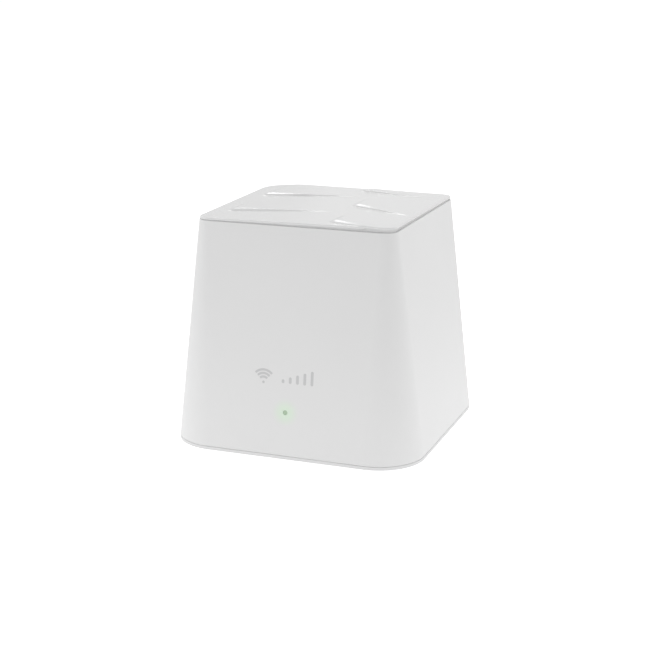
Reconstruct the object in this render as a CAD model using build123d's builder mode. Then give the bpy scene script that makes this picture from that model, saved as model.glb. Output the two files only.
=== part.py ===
"""A small cube-shaped wireless router: a tapered case with a rippled top cover, built as separate pieces.

The frame is in millimetres. +Z is up and z = 0 is the surface that the feet stand on. The front, with the
status light, faces -Y, and the ports face +Y. +X is to the right of somebody who looks at the front.
"""

import math
import os

from build123d import *

os.makedirs("parts", exist_ok=True)

# ---------------------------------------------------------------- case: driving dimensions
BASE_SIDE = 90.0  # width and depth at the base plate
TOP_SIDE = 70.8  # width and depth at the top cover's edge
BASE_RADIUS = 16.8  # upright corner radius at the base plate
TOP_RADIUS = 4.5  # upright corner radius at the top cover
BASE_Z = 0.9  # underside of the base plate: the feet stand out by this much
TAPER_HEIGHT = 80.1  # from the base plate's underside to the mean edge of the top cover
WALL = 2.2
SEAM = 0.12  # visible gap between the base plate's rim and the shell
FIT_GAP = 0.15  # clearance between pieces that slide into each other
SMALL_GAP = 0.05  # clearance round screws, pins and small inserts

RIM_THICKNESS = 1.2  # the base plate's rim that shows under the shell
SHELL_BOTTOM = BASE_Z + RIM_THICKNESS + SEAM
SHELL_TOP = 79.55
COVER_EDGE_Z = BASE_Z + TAPER_HEIGHT  # mean height of the top cover's edge
OVERSHOOT = 1.0  # how far a cutting solid runs past what it cuts


def side_at(z):
    """Outer width of the tapered case at a height."""
    return BASE_SIDE + (TOP_SIDE - BASE_SIDE) * (z - BASE_Z) / TAPER_HEIGHT


def radius_at(z):
    """Outer corner radius of the tapered case at a height."""
    return BASE_RADIUS + (TOP_RADIUS - BASE_RADIUS) * (z - BASE_Z) / TAPER_HEIGHT


def tapered_block(z_low, z_high, inset=0.0):
    """A solid with the case's own taper between two heights, set in from its outer surface."""
    smallest_radius = 0.6
    with BuildPart() as block:
        for z in (z_low, z_high):
            side = side_at(z) - 2 * inset
            with BuildSketch(Plane.XY.offset(z)):
                RectangleRounded(side, side, max(radius_at(z) - inset, smallest_radius))
        loft(ruled=True)
    return block.part


def facing_rear(y):
    """An upright plane at y, its own X along +X and its own Y along +Z. Extrude by a minus amount for +Y."""
    return Plane.XZ.offset(-y)


# ---------------------------------------------------------------- circuit board and connector places
BOARD_Z = 6.4
BOARD_THICKNESS = 1.6
BOARD_TOP = BOARD_Z + BOARD_THICKNESS
BOARD_WIDTH = 66.0
BOARD_FRONT_Y = -33.0
BOARD_REAR_Y = 36.5
BOARD_SCREW_POINTS = [(-29.5, -29.0), (29.5, -29.0), (-29.5, 18.0), (29.5, 18.0)]
BOSS_X = 37.2
BOSS_Y = 21.0
BASE_SCREW_POINTS = [(-BOSS_X, -BOSS_Y), (BOSS_X, -BOSS_Y), (-BOSS_X, BOSS_Y), (BOSS_X, BOSS_Y)]

POWER_X = 22.6
WAN_X = 8.4
LAN_X = -8.4
RESET_X = -22.6
PORT_FACE_Y = 38.9  # front face of the network sockets

# ---------------------------------------------------------------- outer shell
STATUS_LIGHT_Z = 17.1
STATUS_LIGHT_RADIUS = 0.75
TOP_EDGE_RADIUS = 0.3
BOTTOM_EDGE_RADIUS = 0.15
PLATE_TOP = 2.9  # upper face of the base plate
LIP_TOP = 5.0  # top of the base plate's lip, which stands inside the shell
BOSS_RADIUS = 3.3
BOSS_TOP = 22.0
RIB_LENGTH = 8.0
SCREW_RADIUS = 1.25
BOSS_HOLE_TOP = 11.0
FRAME_LOW = 68.0  # the vent frame stands on the shell's ledges at this height
LEDGE_BOTTOM = 64.5
LEDGE_INNER = 32.6  # how near the ledges' faces come to the middle of the case
LEDGE_LENGTH = 6.0
LEDGE_WIDTH = 10.0

TUB_WIDTH = 56.0  # inside of the port recess
TUB_LOW_Z = 6.6
TUB_HIGH_Z = 22.6
TUB_WALL = 1.2
TUB_CORNER = 2.0
TUB_MID_Z = (TUB_LOW_Z + TUB_HIGH_Z) / 2
TUB_HEIGHT = TUB_HIGH_Z - TUB_LOW_Z
RECESS_GAP = 0.1  # between the recess's tub and the shell

with BuildPart() as shell_bosses:
    with BuildSketch(Plane.XY.offset(PLATE_TOP)):
        with Locations(*BASE_SCREW_POINTS):
            Circle(BOSS_RADIUS)
    extrude(amount=BOSS_TOP - PLATE_TOP)
    with BuildSketch(Plane.XY.offset(LIP_TOP + FIT_GAP)):
        with GridLocations(2 * (BOSS_X + RIB_LENGTH / 2), 2 * BOSS_Y, 2, 2):
            Rectangle(RIB_LENGTH, 2.4)
    extrude(amount=BOSS_TOP - LIP_TOP - FIT_GAP)
    with BuildSketch(Plane.XY.offset(LEDGE_BOTTOM)):
        with PolarLocations(LEDGE_INNER + LEDGE_LENGTH / 2, 4):
            Rectangle(LEDGE_LENGTH, LEDGE_WIDTH)
    extrude(amount=FRAME_LOW - LEDGE_BOTTOM)
    add(tapered_block(SHELL_BOTTOM, SHELL_TOP, WALL / 2), mode=Mode.INTERSECT)

with BuildPart() as outer_shell:
    add(tapered_block(SHELL_BOTTOM, SHELL_TOP))
    fillet(outer_shell.faces().sort_by(Axis.Z)[-1].edges(), TOP_EDGE_RADIUS)
    fillet(outer_shell.faces().sort_by(Axis.Z)[0].edges(), BOTTOM_EDGE_RADIUS)
    add(tapered_block(SHELL_BOTTOM - OVERSHOOT, SHELL_TOP + OVERSHOOT, WALL), mode=Mode.SUBTRACT)
    add(shell_bosses.part)
    with BuildSketch(Plane.XY.offset(PLATE_TOP)):
        with Locations(*BASE_SCREW_POINTS):
            Circle(SCREW_RADIUS + SMALL_GAP)
    extrude(amount=BOSS_HOLE_TOP - PLATE_TOP, mode=Mode.SUBTRACT)
    with BuildSketch(facing_rear(BOARD_REAR_Y)):
        with Locations((0, TUB_MID_Z)):
            opening_growth = 2 * (TUB_WALL + RECESS_GAP)
            RectangleRounded(TUB_WIDTH + opening_growth, TUB_HEIGHT + opening_growth, TUB_CORNER + TUB_WALL)
    extrude(amount=-(BASE_SIDE / 2 - BOARD_REAR_Y + OVERSHOOT), mode=Mode.SUBTRACT)
    with BuildSketch(Plane.XZ.offset(BASE_SIDE / 4)):
        with Locations((0, STATUS_LIGHT_Z)):
            Circle(STATUS_LIGHT_RADIUS + SMALL_GAP)
    extrude(amount=BASE_SIDE / 2, mode=Mode.SUBTRACT)
outer_shell.part.label = "outer_shell"
export_step(outer_shell.part, "parts/outer_shell.step")

# ---------------------------------------------------------------- base plate
LIP_THICKNESS = 1.4
RIM_EDGE_RADIUS = 0.35
FOOT_PLACE = 31.0
FOOT_RADIUS = 5.5
FOOT_SEAT_DEPTH = 0.8
SCREW_HEAD_RADIUS = 2.4
SCREW_HEAD_SEAT = 1.1
STANDOFF_RADIUS = 3.0
BOARD_SCREW_RADIUS = 1.0
BOARD_SCREW_BOTTOM = 3.6
SLOT_LENGTH = 13.0
SLOT_WIDTH = 1.7
SLOT_PITCH = 3.6
SLOT_COUNT = 13
SLOT_BANK_Y = 19.0
LABEL_WIDTH = 44.0
LABEL_DEPTH = 18.0
LABEL_THICKNESS = 0.15
LABEL_SEAT = 0.2
FOOT_POINTS = {
    "foot_front_left": (-FOOT_PLACE, -FOOT_PLACE),
    "foot_front_right": (FOOT_PLACE, -FOOT_PLACE),
    "foot_rear_left": (-FOOT_PLACE, FOOT_PLACE),
    "foot_rear_right": (FOOT_PLACE, FOOT_PLACE),
}

with BuildPart() as base_plate:
    inner_inset = WALL + FIT_GAP
    add(tapered_block(BASE_Z, BASE_Z + RIM_THICKNESS))
    fillet(base_plate.faces().sort_by(Axis.Z)[0].edges(), RIM_EDGE_RADIUS)
    add(tapered_block(BASE_Z + RIM_THICKNESS, LIP_TOP, inner_inset))
    add(tapered_block(PLATE_TOP, LIP_TOP + OVERSHOOT, inner_inset + LIP_THICKNESS), mode=Mode.SUBTRACT)
    with BuildSketch(Plane.XY.offset(PLATE_TOP)):
        with Locations(*BOARD_SCREW_POINTS):
            Circle(STANDOFF_RADIUS)
    extrude(amount=BOARD_Z - PLATE_TOP)
    with BuildSketch(Plane.XY.offset(BASE_Z)):
        with Locations(*FOOT_POINTS.values()):
            Circle(FOOT_RADIUS + SMALL_GAP)
    extrude(amount=FOOT_SEAT_DEPTH, mode=Mode.SUBTRACT)
    with BuildSketch(Plane.XY.offset(BASE_Z)):
        RectangleRounded(LABEL_WIDTH + 2 * FIT_GAP, LABEL_DEPTH + 2 * FIT_GAP, 1.5)
    extrude(amount=LABEL_SEAT, mode=Mode.SUBTRACT)
    with BuildSketch(Plane.XY.offset(BASE_Z)):
        with Locations(*BASE_SCREW_POINTS):
            Circle(SCREW_HEAD_RADIUS + 0.2)
    extrude(amount=SCREW_HEAD_SEAT, mode=Mode.SUBTRACT)
    with BuildSketch(Plane.XY.offset(BASE_Z)):
        with Locations(*BASE_SCREW_POINTS):
            Circle(SCREW_RADIUS + 0.2)
        with GridLocations(SLOT_PITCH, 2 * SLOT_BANK_Y, SLOT_COUNT, 2):
            SlotOverall(SLOT_LENGTH, SLOT_WIDTH, rotation=90)
    extrude(amount=LIP_TOP, mode=Mode.SUBTRACT)
    with BuildSketch(Plane.XY.offset(BOARD_SCREW_BOTTOM - FIT_GAP)):
        with Locations(*BOARD_SCREW_POINTS):
            Circle(BOARD_SCREW_RADIUS + SMALL_GAP)
    extrude(amount=BOARD_Z, mode=Mode.SUBTRACT)
base_plate.part.label = "base_plate"
export_step(base_plate.part, "parts/base_plate.step")

for foot_name, foot_point in FOOT_POINTS.items():
    with BuildPart() as foot:
        with BuildSketch():
            with Locations(foot_point):
                Circle(FOOT_RADIUS)
        extrude(amount=BASE_Z + FOOT_SEAT_DEPTH)
        fillet(foot.faces().sort_by(Axis.Z)[0].edges(), 0.4)
    foot.part.label = foot_name
    export_step(foot.part, f"parts/{foot_name}.step")

with BuildPart() as rating_label:
    with BuildSketch(Plane.XY.offset(BASE_Z + LABEL_SEAT - LABEL_THICKNESS)):
        RectangleRounded(LABEL_WIDTH, LABEL_DEPTH, 1.4)
    extrude(amount=LABEL_THICKNESS)
rating_label.part.label = "rating_label"
export_step(rating_label.part, "parts/rating_label.step")


def screws(points, head, shank, drive_from):
    """Cross-head screws at several points. Head and shank are each a radius, a lower and an upper height.

    The drive is cut into the head from below or from above.
    """
    head_radius, head_low, head_high = head
    shank_radius, shank_low, shank_high = shank
    drive_depth = 0.55
    drive_length = head_radius * 1.15
    drive_width = 0.6
    drive_low = head_low if drive_from == "below" else head_high - drive_depth
    with BuildPart() as group:
        with BuildSketch(Plane.XY.offset(head_low)):
            with Locations(*points):
                Circle(head_radius)
        extrude(amount=head_high - head_low)
        with BuildSketch(Plane.XY.offset(shank_low)):
            with Locations(*points):
                Circle(shank_radius)
        extrude(amount=shank_high - shank_low)
        with BuildSketch(Plane.XY.offset(drive_low)):
            with Locations(*points):
                Rectangle(drive_length, drive_width)
                Rectangle(drive_width, drive_length)
        extrude(amount=drive_depth, mode=Mode.SUBTRACT)
    return group


base_head_high = BASE_Z + SCREW_HEAD_SEAT
base_screws = screws(
    BASE_SCREW_POINTS,
    (SCREW_HEAD_RADIUS, BASE_Z + 0.05, base_head_high),
    (SCREW_RADIUS, base_head_high, 10.0),
    "below",
)
base_screws.part.label = "base_screws"
export_step(base_screws.part, "parts/base_screws.step")

# ---------------------------------------------------------------- rear port panel
PANEL_THICKNESS = 1.6
PANEL_FACE_Y = 38.6
PANEL_BACK_Y = PANEL_FACE_Y - PANEL_THICKNESS
FLANGE_GROWTH = 1.6  # how far the panel's flange reaches past its tub, inside the shell
SOCKET_WIDTH = 15.8
SOCKET_HEIGHT = 13.0
SOCKET_DEPTH = 15.5
SOCKET_MID_Z = BOARD_TOP + SOCKET_HEIGHT / 2
POWER_Z = BOARD_TOP + 6.4
POWER_COLLAR_RADIUS = 3.9
RESET_Z = POWER_Z
RESET_CAP_RADIUS = 2.0
RESET_CAP_GAP = 0.1

with BuildPart() as rear_port_panel:
    with BuildSketch(facing_rear(PANEL_BACK_Y)):
        with Locations((0, TUB_MID_Z)):
            flange = 2 * (TUB_WALL + FLANGE_GROWTH)
            RectangleRounded(TUB_WIDTH + flange, TUB_HEIGHT + flange, TUB_CORNER + TUB_WALL)
    extrude(amount=-PANEL_THICKNESS)
    with BuildSketch(facing_rear(PANEL_FACE_Y)):
        with Locations((0, TUB_MID_Z)):
            RectangleRounded(TUB_WIDTH + 2 * TUB_WALL, TUB_HEIGHT + 2 * TUB_WALL, TUB_CORNER + TUB_WALL)
            RectangleRounded(TUB_WIDTH, TUB_HEIGHT, TUB_CORNER, mode=Mode.SUBTRACT)
    extrude(amount=-(BASE_SIDE / 2 - PANEL_FACE_Y))
    add(tapered_block(BASE_Z, COVER_EDGE_Z), mode=Mode.INTERSECT)
    with BuildSketch(facing_rear(PANEL_BACK_Y - OVERSHOOT)):
        with Locations((WAN_X, SOCKET_MID_Z), (LAN_X, SOCKET_MID_Z)):
            Rectangle(SOCKET_WIDTH + 2 * RECESS_GAP, SOCKET_HEIGHT + 2 * RECESS_GAP)
        with Locations((POWER_X, POWER_Z)):
            Circle(POWER_COLLAR_RADIUS + RECESS_GAP)
        with Locations((RESET_X, RESET_Z)):
            Circle(RESET_CAP_RADIUS + RESET_CAP_GAP)
    extrude(amount=-(PANEL_THICKNESS + 2 * OVERSHOOT), mode=Mode.SUBTRACT)
rear_port_panel.part.label = "rear_port_panel"
export_step(rear_port_panel.part, "parts/rear_port_panel.step")

# ---------------------------------------------------------------- main board
with BuildPart() as main_board:
    board_depth = BOARD_REAR_Y - BOARD_FRONT_Y
    with BuildSketch(Plane.XY.offset(BOARD_Z)):
        with Locations((0, (BOARD_REAR_Y + BOARD_FRONT_Y) / 2)):
            RectangleRounded(BOARD_WIDTH, board_depth, 2.0)
        with Locations(*BOARD_SCREW_POINTS):
            Circle(BOARD_SCREW_RADIUS + 0.2, mode=Mode.SUBTRACT)
    extrude(amount=BOARD_THICKNESS)
main_board.part.label = "main_board"
export_step(main_board.part, "parts/main_board.step")

board_screws = screws(
    BOARD_SCREW_POINTS,
    (2.2, BOARD_TOP, BOARD_TOP + 1.5),
    (BOARD_SCREW_RADIUS, BOARD_SCREW_BOTTOM, BOARD_TOP),
    "above",
)
board_screws.part.label = "board_screws"
export_step(board_screws.part, "parts/board_screws.step")

# ---------------------------------------------------------------- network sockets
SHIELD_SHEET = 0.3
PLUG_WIDTH = 11.9
PLUG_HEIGHT = 6.9
PLUG_FLOOR_Z = BOARD_TOP + 2.3
PLUG_DEPTH = 12.5
HOUSING_INSET = SHIELD_SHEET + SMALL_GAP
CAVITY_BACK_Y = PORT_FACE_Y - HOUSING_INSET - PLUG_DEPTH
LATCH_STEPS = [(6.4, 1.5), (3.6, 1.1)]  # width and height of the two steps that take the plug's latch
CONTACT_COUNT = 8
CONTACT_PITCH = 1.02
CONTACT_RADIUS = 0.22


def socket_shield(x):
    """The pressed metal shield over a network socket: five sides, with a window for the plug."""
    rear_y = PORT_FACE_Y - SOCKET_DEPTH
    middle_y = PORT_FACE_Y - SOCKET_DEPTH / 2
    window_width = PLUG_WIDTH + 1.0
    window_low = PLUG_FLOOR_Z - 0.6
    window_height = PLUG_HEIGHT + 3.6
    spring_length = 4.5
    with BuildPart() as shield:
        with BuildSketch(Plane.XY.offset(BOARD_TOP)):
            with Locations((x, middle_y)):
                Rectangle(SOCKET_WIDTH, SOCKET_DEPTH)
        extrude(amount=SOCKET_HEIGHT)
        with BuildSketch(Plane.XY.offset(BOARD_TOP)):
            with Locations((x, middle_y)):
                Rectangle(SOCKET_WIDTH - 2 * SHIELD_SHEET, SOCKET_DEPTH - 2 * SHIELD_SHEET)
        extrude(amount=SOCKET_HEIGHT - SHIELD_SHEET, mode=Mode.SUBTRACT)
        with BuildSketch(facing_rear(PORT_FACE_Y - 2 * SHIELD_SHEET)):
            with Locations((x, window_low + window_height / 2)):
                Rectangle(window_width, window_height)
        extrude(amount=-3 * SHIELD_SHEET, mode=Mode.SUBTRACT)
        # Two earthing springs on each side and one on top, behind the panel.
        with BuildSketch(Plane.XY.offset(SOCKET_MID_Z - 3.4)):
            with Locations((x, rear_y + 8.5)):
                Rectangle(SOCKET_WIDTH + 0.6, spring_length)
                Rectangle(SOCKET_WIDTH - SHIELD_SHEET, spring_length, mode=Mode.SUBTRACT)
        extrude(amount=1.6)
        with BuildSketch(Plane.XY.offset(SOCKET_MID_Z + 1.8)):
            with Locations((x, rear_y + 8.5)):
                Rectangle(SOCKET_WIDTH + 0.6, spring_length)
                Rectangle(SOCKET_WIDTH - SHIELD_SHEET, spring_length, mode=Mode.SUBTRACT)
        extrude(amount=1.6)
        with BuildSketch(Plane.XY.offset(BOARD_TOP + SOCKET_HEIGHT)):
            with Locations((x, rear_y + 8.5)):
                Rectangle(2.0, spring_length)
        extrude(amount=0.4)
    return shield


def socket_housing(x):
    """The moulded insert of a network socket, with the plug's cavity and the stepped slot for its latch."""
    with BuildPart() as housing:
        with BuildSketch(Plane.XY.offset(BOARD_TOP)):
            with Locations((x, PORT_FACE_Y - SOCKET_DEPTH / 2)):
                Rectangle(SOCKET_WIDTH - 2 * HOUSING_INSET, SOCKET_DEPTH - 2 * HOUSING_INSET)
        extrude(amount=SOCKET_HEIGHT - HOUSING_INSET)
        with BuildSketch(facing_rear(CAVITY_BACK_Y)):
            with Locations((x, PLUG_FLOOR_Z + PLUG_HEIGHT / 2)):
                Rectangle(PLUG_WIDTH, PLUG_HEIGHT)
            step_floor = PLUG_FLOOR_Z + PLUG_HEIGHT
            for step_width, step_height in LATCH_STEPS:
                with Locations((x, step_floor + step_height / 2)):
                    Rectangle(step_width, step_height)
                step_floor += step_height
        extrude(amount=-(PLUG_DEPTH + OVERSHOOT), mode=Mode.SUBTRACT)
    return housing


def socket_contacts(x):
    """Eight spring wires that rise from the cavity's floor near the mouth to its back."""
    low_z = PLUG_FLOOR_Z + 0.3
    high_z = PLUG_FLOOR_Z + 1.9
    with BuildPart() as contacts:
        for index in range(CONTACT_COUNT):
            wire_x = x + (index - (CONTACT_COUNT - 1) / 2) * CONTACT_PITCH
            with BuildLine(Plane.YZ.offset(wire_x)) as wire:
                FilletPolyline(
                    (PORT_FACE_Y - 2.0, low_z),
                    (PORT_FACE_Y - 3.4, low_z),
                    (CAVITY_BACK_Y + 2.2, high_z),
                    (CAVITY_BACK_Y, high_z),
                    radius=0.6,
                )
            with BuildSketch(Plane(origin=wire.line @ 0, z_dir=wire.line % 0)):
                Circle(CONTACT_RADIUS)
            sweep(path=wire.line)
    return contacts


for socket_name, socket_x in (("wan", WAN_X), ("lan", LAN_X)):
    socket_pieces = {"shield": socket_shield, "housing": socket_housing, "contacts": socket_contacts}
    for piece_name, make_piece in socket_pieces.items():
        piece = make_piece(socket_x)
        piece.part.label = f"{socket_name}_port_{piece_name}"
        export_step(piece.part, f"parts/{socket_name}_port_{piece_name}.step")

# ---------------------------------------------------------------- power jack
POWER_BODY_WIDTH = 9.0
POWER_BODY_HEIGHT = 11.0
POWER_BODY_FRONT_Y = PANEL_BACK_Y - 0.1
POWER_BODY_REAR_Y = 24.0
POWER_BORE_RADIUS = 3.15
POWER_BORE_REAR_Y = 29.0
POWER_PIN_RADIUS = 1.0
POWER_PIN_TIP_Y = 37.6

with BuildPart() as power_jack_body:
    with BuildSketch(facing_rear(POWER_BODY_REAR_Y)):
        with Locations((POWER_X, BOARD_TOP + POWER_BODY_HEIGHT / 2)):
            RectangleRounded(POWER_BODY_WIDTH, POWER_BODY_HEIGHT, 0.5)
    extrude(amount=-(POWER_BODY_FRONT_Y - POWER_BODY_REAR_Y))
    with BuildSketch(facing_rear(POWER_BODY_FRONT_Y)):
        with Locations((POWER_X, POWER_Z)):
            Circle(POWER_COLLAR_RADIUS)
    extrude(amount=-(PORT_FACE_Y - POWER_BODY_FRONT_Y))
    chamfer(power_jack_body.faces().sort_by(Axis.Y)[-1].edges(), 0.3)
    with BuildSketch(facing_rear(POWER_BORE_REAR_Y)):
        with Locations((POWER_X, POWER_Z)):
            Circle(POWER_BORE_RADIUS)
    extrude(amount=-(PORT_FACE_Y - POWER_BORE_REAR_Y + OVERSHOOT), mode=Mode.SUBTRACT)
power_jack_body.part.label = "power_jack_body"
export_step(power_jack_body.part, "parts/power_jack_body.step")

with BuildPart() as power_jack_pin:
    with BuildSketch(facing_rear(POWER_BORE_REAR_Y)):
        with Locations((POWER_X, POWER_Z)):
            Circle(POWER_PIN_RADIUS)
    extrude(amount=-(POWER_PIN_TIP_Y - POWER_BORE_REAR_Y))
    fillet(power_jack_pin.faces().sort_by(Axis.Y)[-1].edges(), 0.5)
power_jack_pin.part.label = "power_jack_pin"
export_step(power_jack_pin.part, "parts/power_jack_pin.step")

with BuildPart() as power_jack_spring:
    with BuildSketch(facing_rear(POWER_BORE_REAR_Y)):
        with Locations((POWER_X, POWER_Z - 2.82)):
            Rectangle(1.7, 0.25)
    extrude(amount=-7.5)
power_jack_spring.part.label = "power_jack_spring"
export_step(power_jack_spring.part, "parts/power_jack_spring.step")

# ---------------------------------------------------------------- reset button
RESET_TRAVEL = 0.6
RESET_PROUD = 0.5  # how far the cap stands out of the panel
RESET_FLANGE_RADIUS = 2.9
SWITCH_FRONT_Y = 33.0
SWITCH_DEPTH = 3.6
SWITCH_WIDTH = 6.2
PLUNGER_RADIUS = 1.6
PLUNGER_FRONT_Y = 34.4
PLUNGER_REAR_Y = 31.9

with BuildPart() as reset_button_cap:
    flange_front = PANEL_BACK_Y - SMALL_GAP
    flange_back = flange_front - 1.0
    with BuildSketch(facing_rear(flange_back)):
        with Locations((RESET_X, RESET_Z)):
            Circle(RESET_FLANGE_RADIUS)
    extrude(amount=-(flange_front - flange_back))
    with BuildSketch(facing_rear(flange_front)):
        with Locations((RESET_X, RESET_Z)):
            Circle(RESET_CAP_RADIUS)
    extrude(amount=-(PANEL_FACE_Y + RESET_PROUD - flange_front))
    fillet(reset_button_cap.faces().sort_by(Axis.Y)[-1].edges(), 0.35)
    with BuildSketch(facing_rear(PLUNGER_FRONT_Y)):
        with Locations((RESET_X, RESET_Z)):
            Circle(PLUNGER_RADIUS * 0.8)
    extrude(amount=-(flange_back - PLUNGER_FRONT_Y))
reset_button_cap.part.label = "reset_button_cap"
export_step(reset_button_cap.part, "parts/reset_button_cap.step")

with BuildPart() as reset_switch_plunger:
    with BuildSketch(facing_rear(PLUNGER_REAR_Y)):
        with Locations((RESET_X, RESET_Z)):
            Circle(PLUNGER_RADIUS)
    extrude(amount=-(PLUNGER_FRONT_Y - PLUNGER_REAR_Y))
reset_switch_plunger.part.label = "reset_switch_plunger"
export_step(reset_switch_plunger.part, "parts/reset_switch_plunger.step")

with BuildPart() as reset_switch_body:
    switch_height = RESET_Z + SWITCH_WIDTH / 2 - BOARD_TOP
    with BuildSketch(facing_rear(SWITCH_FRONT_Y - SWITCH_DEPTH)):
        with Locations((RESET_X, BOARD_TOP + switch_height / 2)):
            Rectangle(SWITCH_WIDTH, switch_height)
    extrude(amount=-SWITCH_DEPTH)
    with BuildSketch(facing_rear(PLUNGER_REAR_Y - RESET_TRAVEL - 0.2)):
        with Locations((RESET_X, RESET_Z)):
            Circle(PLUNGER_RADIUS + SMALL_GAP)
    extrude(amount=-SWITCH_DEPTH, mode=Mode.SUBTRACT)
reset_switch_body.part.label = "reset_switch_body"
export_step(reset_switch_body.part, "parts/reset_switch_body.step")

# ---------------------------------------------------------------- status light
LED_Y = -31.0
LED_HEIGHT = 0.9
PIPE_RADIUS = 1.1
PIPE_FOOT_HEIGHT = 1.9
PIPE_SHOULDER_Y = -(side_at(STATUS_LIGHT_Z) / 2 - WALL - 0.2)
PIPE_TIP_Y = -(side_at(STATUS_LIGHT_Z) / 2 - 0.15)

with BuildPart() as status_led:
    with BuildSketch(Plane.XY.offset(BOARD_TOP)):
        with Locations((0, LED_Y)):
            Rectangle(3.2, 1.6)
    extrude(amount=LED_HEIGHT)
status_led.part.label = "status_led"
export_step(status_led.part, "parts/status_led.step")

with BuildPart() as light_pipe:
    with BuildSketch(Plane.XY.offset(BOARD_TOP)):
        with Locations((0, LED_Y)):
            Rectangle(6.0, 3.9)
    extrude(amount=PIPE_FOOT_HEIGHT)
    with BuildSketch(Plane.XY.offset(BOARD_TOP)):
        with Locations((0, LED_Y)):
            Rectangle(3.6, 2.0)
    extrude(amount=LED_HEIGHT + 0.1, mode=Mode.SUBTRACT)
    with BuildLine(Plane.YZ) as pipe_path:
        FilletPolyline(
            (LED_Y, BOARD_TOP + PIPE_FOOT_HEIGHT),
            (LED_Y, STATUS_LIGHT_Z),
            (PIPE_SHOULDER_Y, STATUS_LIGHT_Z),
            radius=2.5,
        )
    with BuildSketch(Plane(origin=pipe_path.line @ 0, z_dir=pipe_path.line % 0)):
        Circle(PIPE_RADIUS)
    sweep(path=pipe_path.line)
    with BuildSketch(Plane.XZ.offset(-PIPE_SHOULDER_Y)):
        with Locations((0, STATUS_LIGHT_Z)):
            Circle(STATUS_LIGHT_RADIUS)
    extrude(amount=PIPE_SHOULDER_Y - PIPE_TIP_Y)
light_pipe.part.label = "light_pipe"
export_step(light_pipe.part, "parts/light_pipe.step")

# ---------------------------------------------------------------- parts on the main board
PROCESSOR_PLACE = (-6.0, 0.5)
PROCESSOR_SIDE = 14.0
PROCESSOR_HEIGHT = 1.2
PAD_HEIGHT = 0.5
SINK_WIDTH = 30.0
SINK_DEPTH = 24.0
SINK_BASE = 2.0
SINK_HEIGHT = 13.0
FIN_COUNT = 10
FIN_THICKNESS = 1.0


def chip(name, place, width, depth, height, low_z=BOARD_TOP):
    """A flat moulded package on the board, with its upper edges eased. It is written to its own file."""
    with BuildPart() as package:
        with BuildSketch(Plane.XY.offset(low_z)):
            with Locations(place):
                Rectangle(width, depth)
        extrude(amount=height)
        chamfer(package.faces().sort_by(Axis.Z)[-1].edges(), min(0.2, height / 4))
    package.part.label = name
    export_step(package.part, f"parts/{name}.step")


chip("router_processor", PROCESSOR_PLACE, PROCESSOR_SIDE, PROCESSOR_SIDE, PROCESSOR_HEIGHT)
chip("thermal_pad", PROCESSOR_PLACE, 13.0, 13.0, PAD_HEIGHT, BOARD_TOP + PROCESSOR_HEIGHT)
chip("memory_chip", (16.0, -3.0), 10.5, 8.0, 1.0)
chip("flash_chip", (15.0, 7.5), 6.0, 5.2, 1.6)
chip("radio_chip_5g", (15.5, -20.0), 8.0, 8.0, 0.9)
chip("radio_chip_2g", (-15.0, -24.5), 7.0, 7.0, 0.9)
chip("wan_transformer", (WAN_X, 17.6), 12.0, 8.8, 4.0)
chip("lan_transformer", (LAN_X, 17.6), 12.0, 8.8, 4.0)
chip("supply_inductor", (26.4, 0.5), 6.8, 6.8, 3.8)

with BuildPart() as heat_sink:
    sink_low = BOARD_TOP + PROCESSOR_HEIGHT + PAD_HEIGHT
    with BuildSketch(Plane.XY.offset(sink_low)):
        with Locations(PROCESSOR_PLACE):
            Rectangle(SINK_WIDTH, SINK_DEPTH)
    extrude(amount=SINK_BASE)
    fin_pitch = (SINK_WIDTH - FIN_THICKNESS) / (FIN_COUNT - 1)
    with BuildSketch(Plane.XY.offset(sink_low + SINK_BASE)):
        with Locations(PROCESSOR_PLACE):
            with GridLocations(fin_pitch, 1, FIN_COUNT, 1):
                Rectangle(FIN_THICKNESS, SINK_DEPTH)
    extrude(amount=SINK_HEIGHT - SINK_BASE)
heat_sink.part.label = "heat_sink"
export_step(heat_sink.part, "parts/heat_sink.step")


def radio_shield(name, place, width, depth):
    """A pressed metal can over a radio chip, open towards the board, with vent holes in its lid."""
    height = 2.8
    sheet = 0.25
    with BuildPart() as can:
        with BuildSketch(Plane.XY.offset(BOARD_TOP)):
            with Locations(place):
                RectangleRounded(width, depth, 0.8)
        extrude(amount=height)
        with BuildSketch(Plane.XY.offset(BOARD_TOP)):
            with Locations(place):
                Rectangle(width - 2 * sheet, depth - 2 * sheet)
        extrude(amount=height - sheet, mode=Mode.SUBTRACT)
        with BuildSketch(Plane.XY.offset(BOARD_TOP + height)):
            with Locations(place):
                with GridLocations(width / 5, depth / 4, 4, 3):
                    Circle(0.6)
        extrude(amount=-2 * sheet, mode=Mode.SUBTRACT)
    can.part.label = name
    export_step(can.part, f"parts/{name}.step")


radio_shield("radio_shield_5g", (15.5, -20.0), 21.0, 16.0)
radio_shield("radio_shield_2g", (-15.0, -24.5), 16.0, 12.0)

with BuildPart() as filter_capacitors:
    for cap_point, cap_radius, cap_height in (
        ((22.4, 16.0), 4.0, 11.5),
        ((30.0, 9.0), 2.5, 7.0),
        ((-26.0, 8.0), 3.15, 8.0),
        ((-26.0, -1.5), 2.5, 7.0),
    ):
        with BuildSketch(Plane.XY.offset(BOARD_TOP)):
            with Locations(cap_point):
                Circle(cap_radius)
        extrude(amount=cap_height)
filter_capacitors.part.label = "filter_capacitors"
export_step(filter_capacitors.part, "parts/filter_capacitors.step")

with BuildPart() as clock_crystals:
    for crystal_point in ((-17.5, 16.0), (2.0, -19.0)):
        with BuildSketch(Plane.XY.offset(BOARD_TOP)):
            with Locations(crystal_point):
                RectangleRounded(3.2, 2.5, 0.5)
        extrude(amount=0.8)
clock_crystals.part.label = "clock_crystals"
export_step(clock_crystals.part, "parts/clock_crystals.step")

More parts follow.
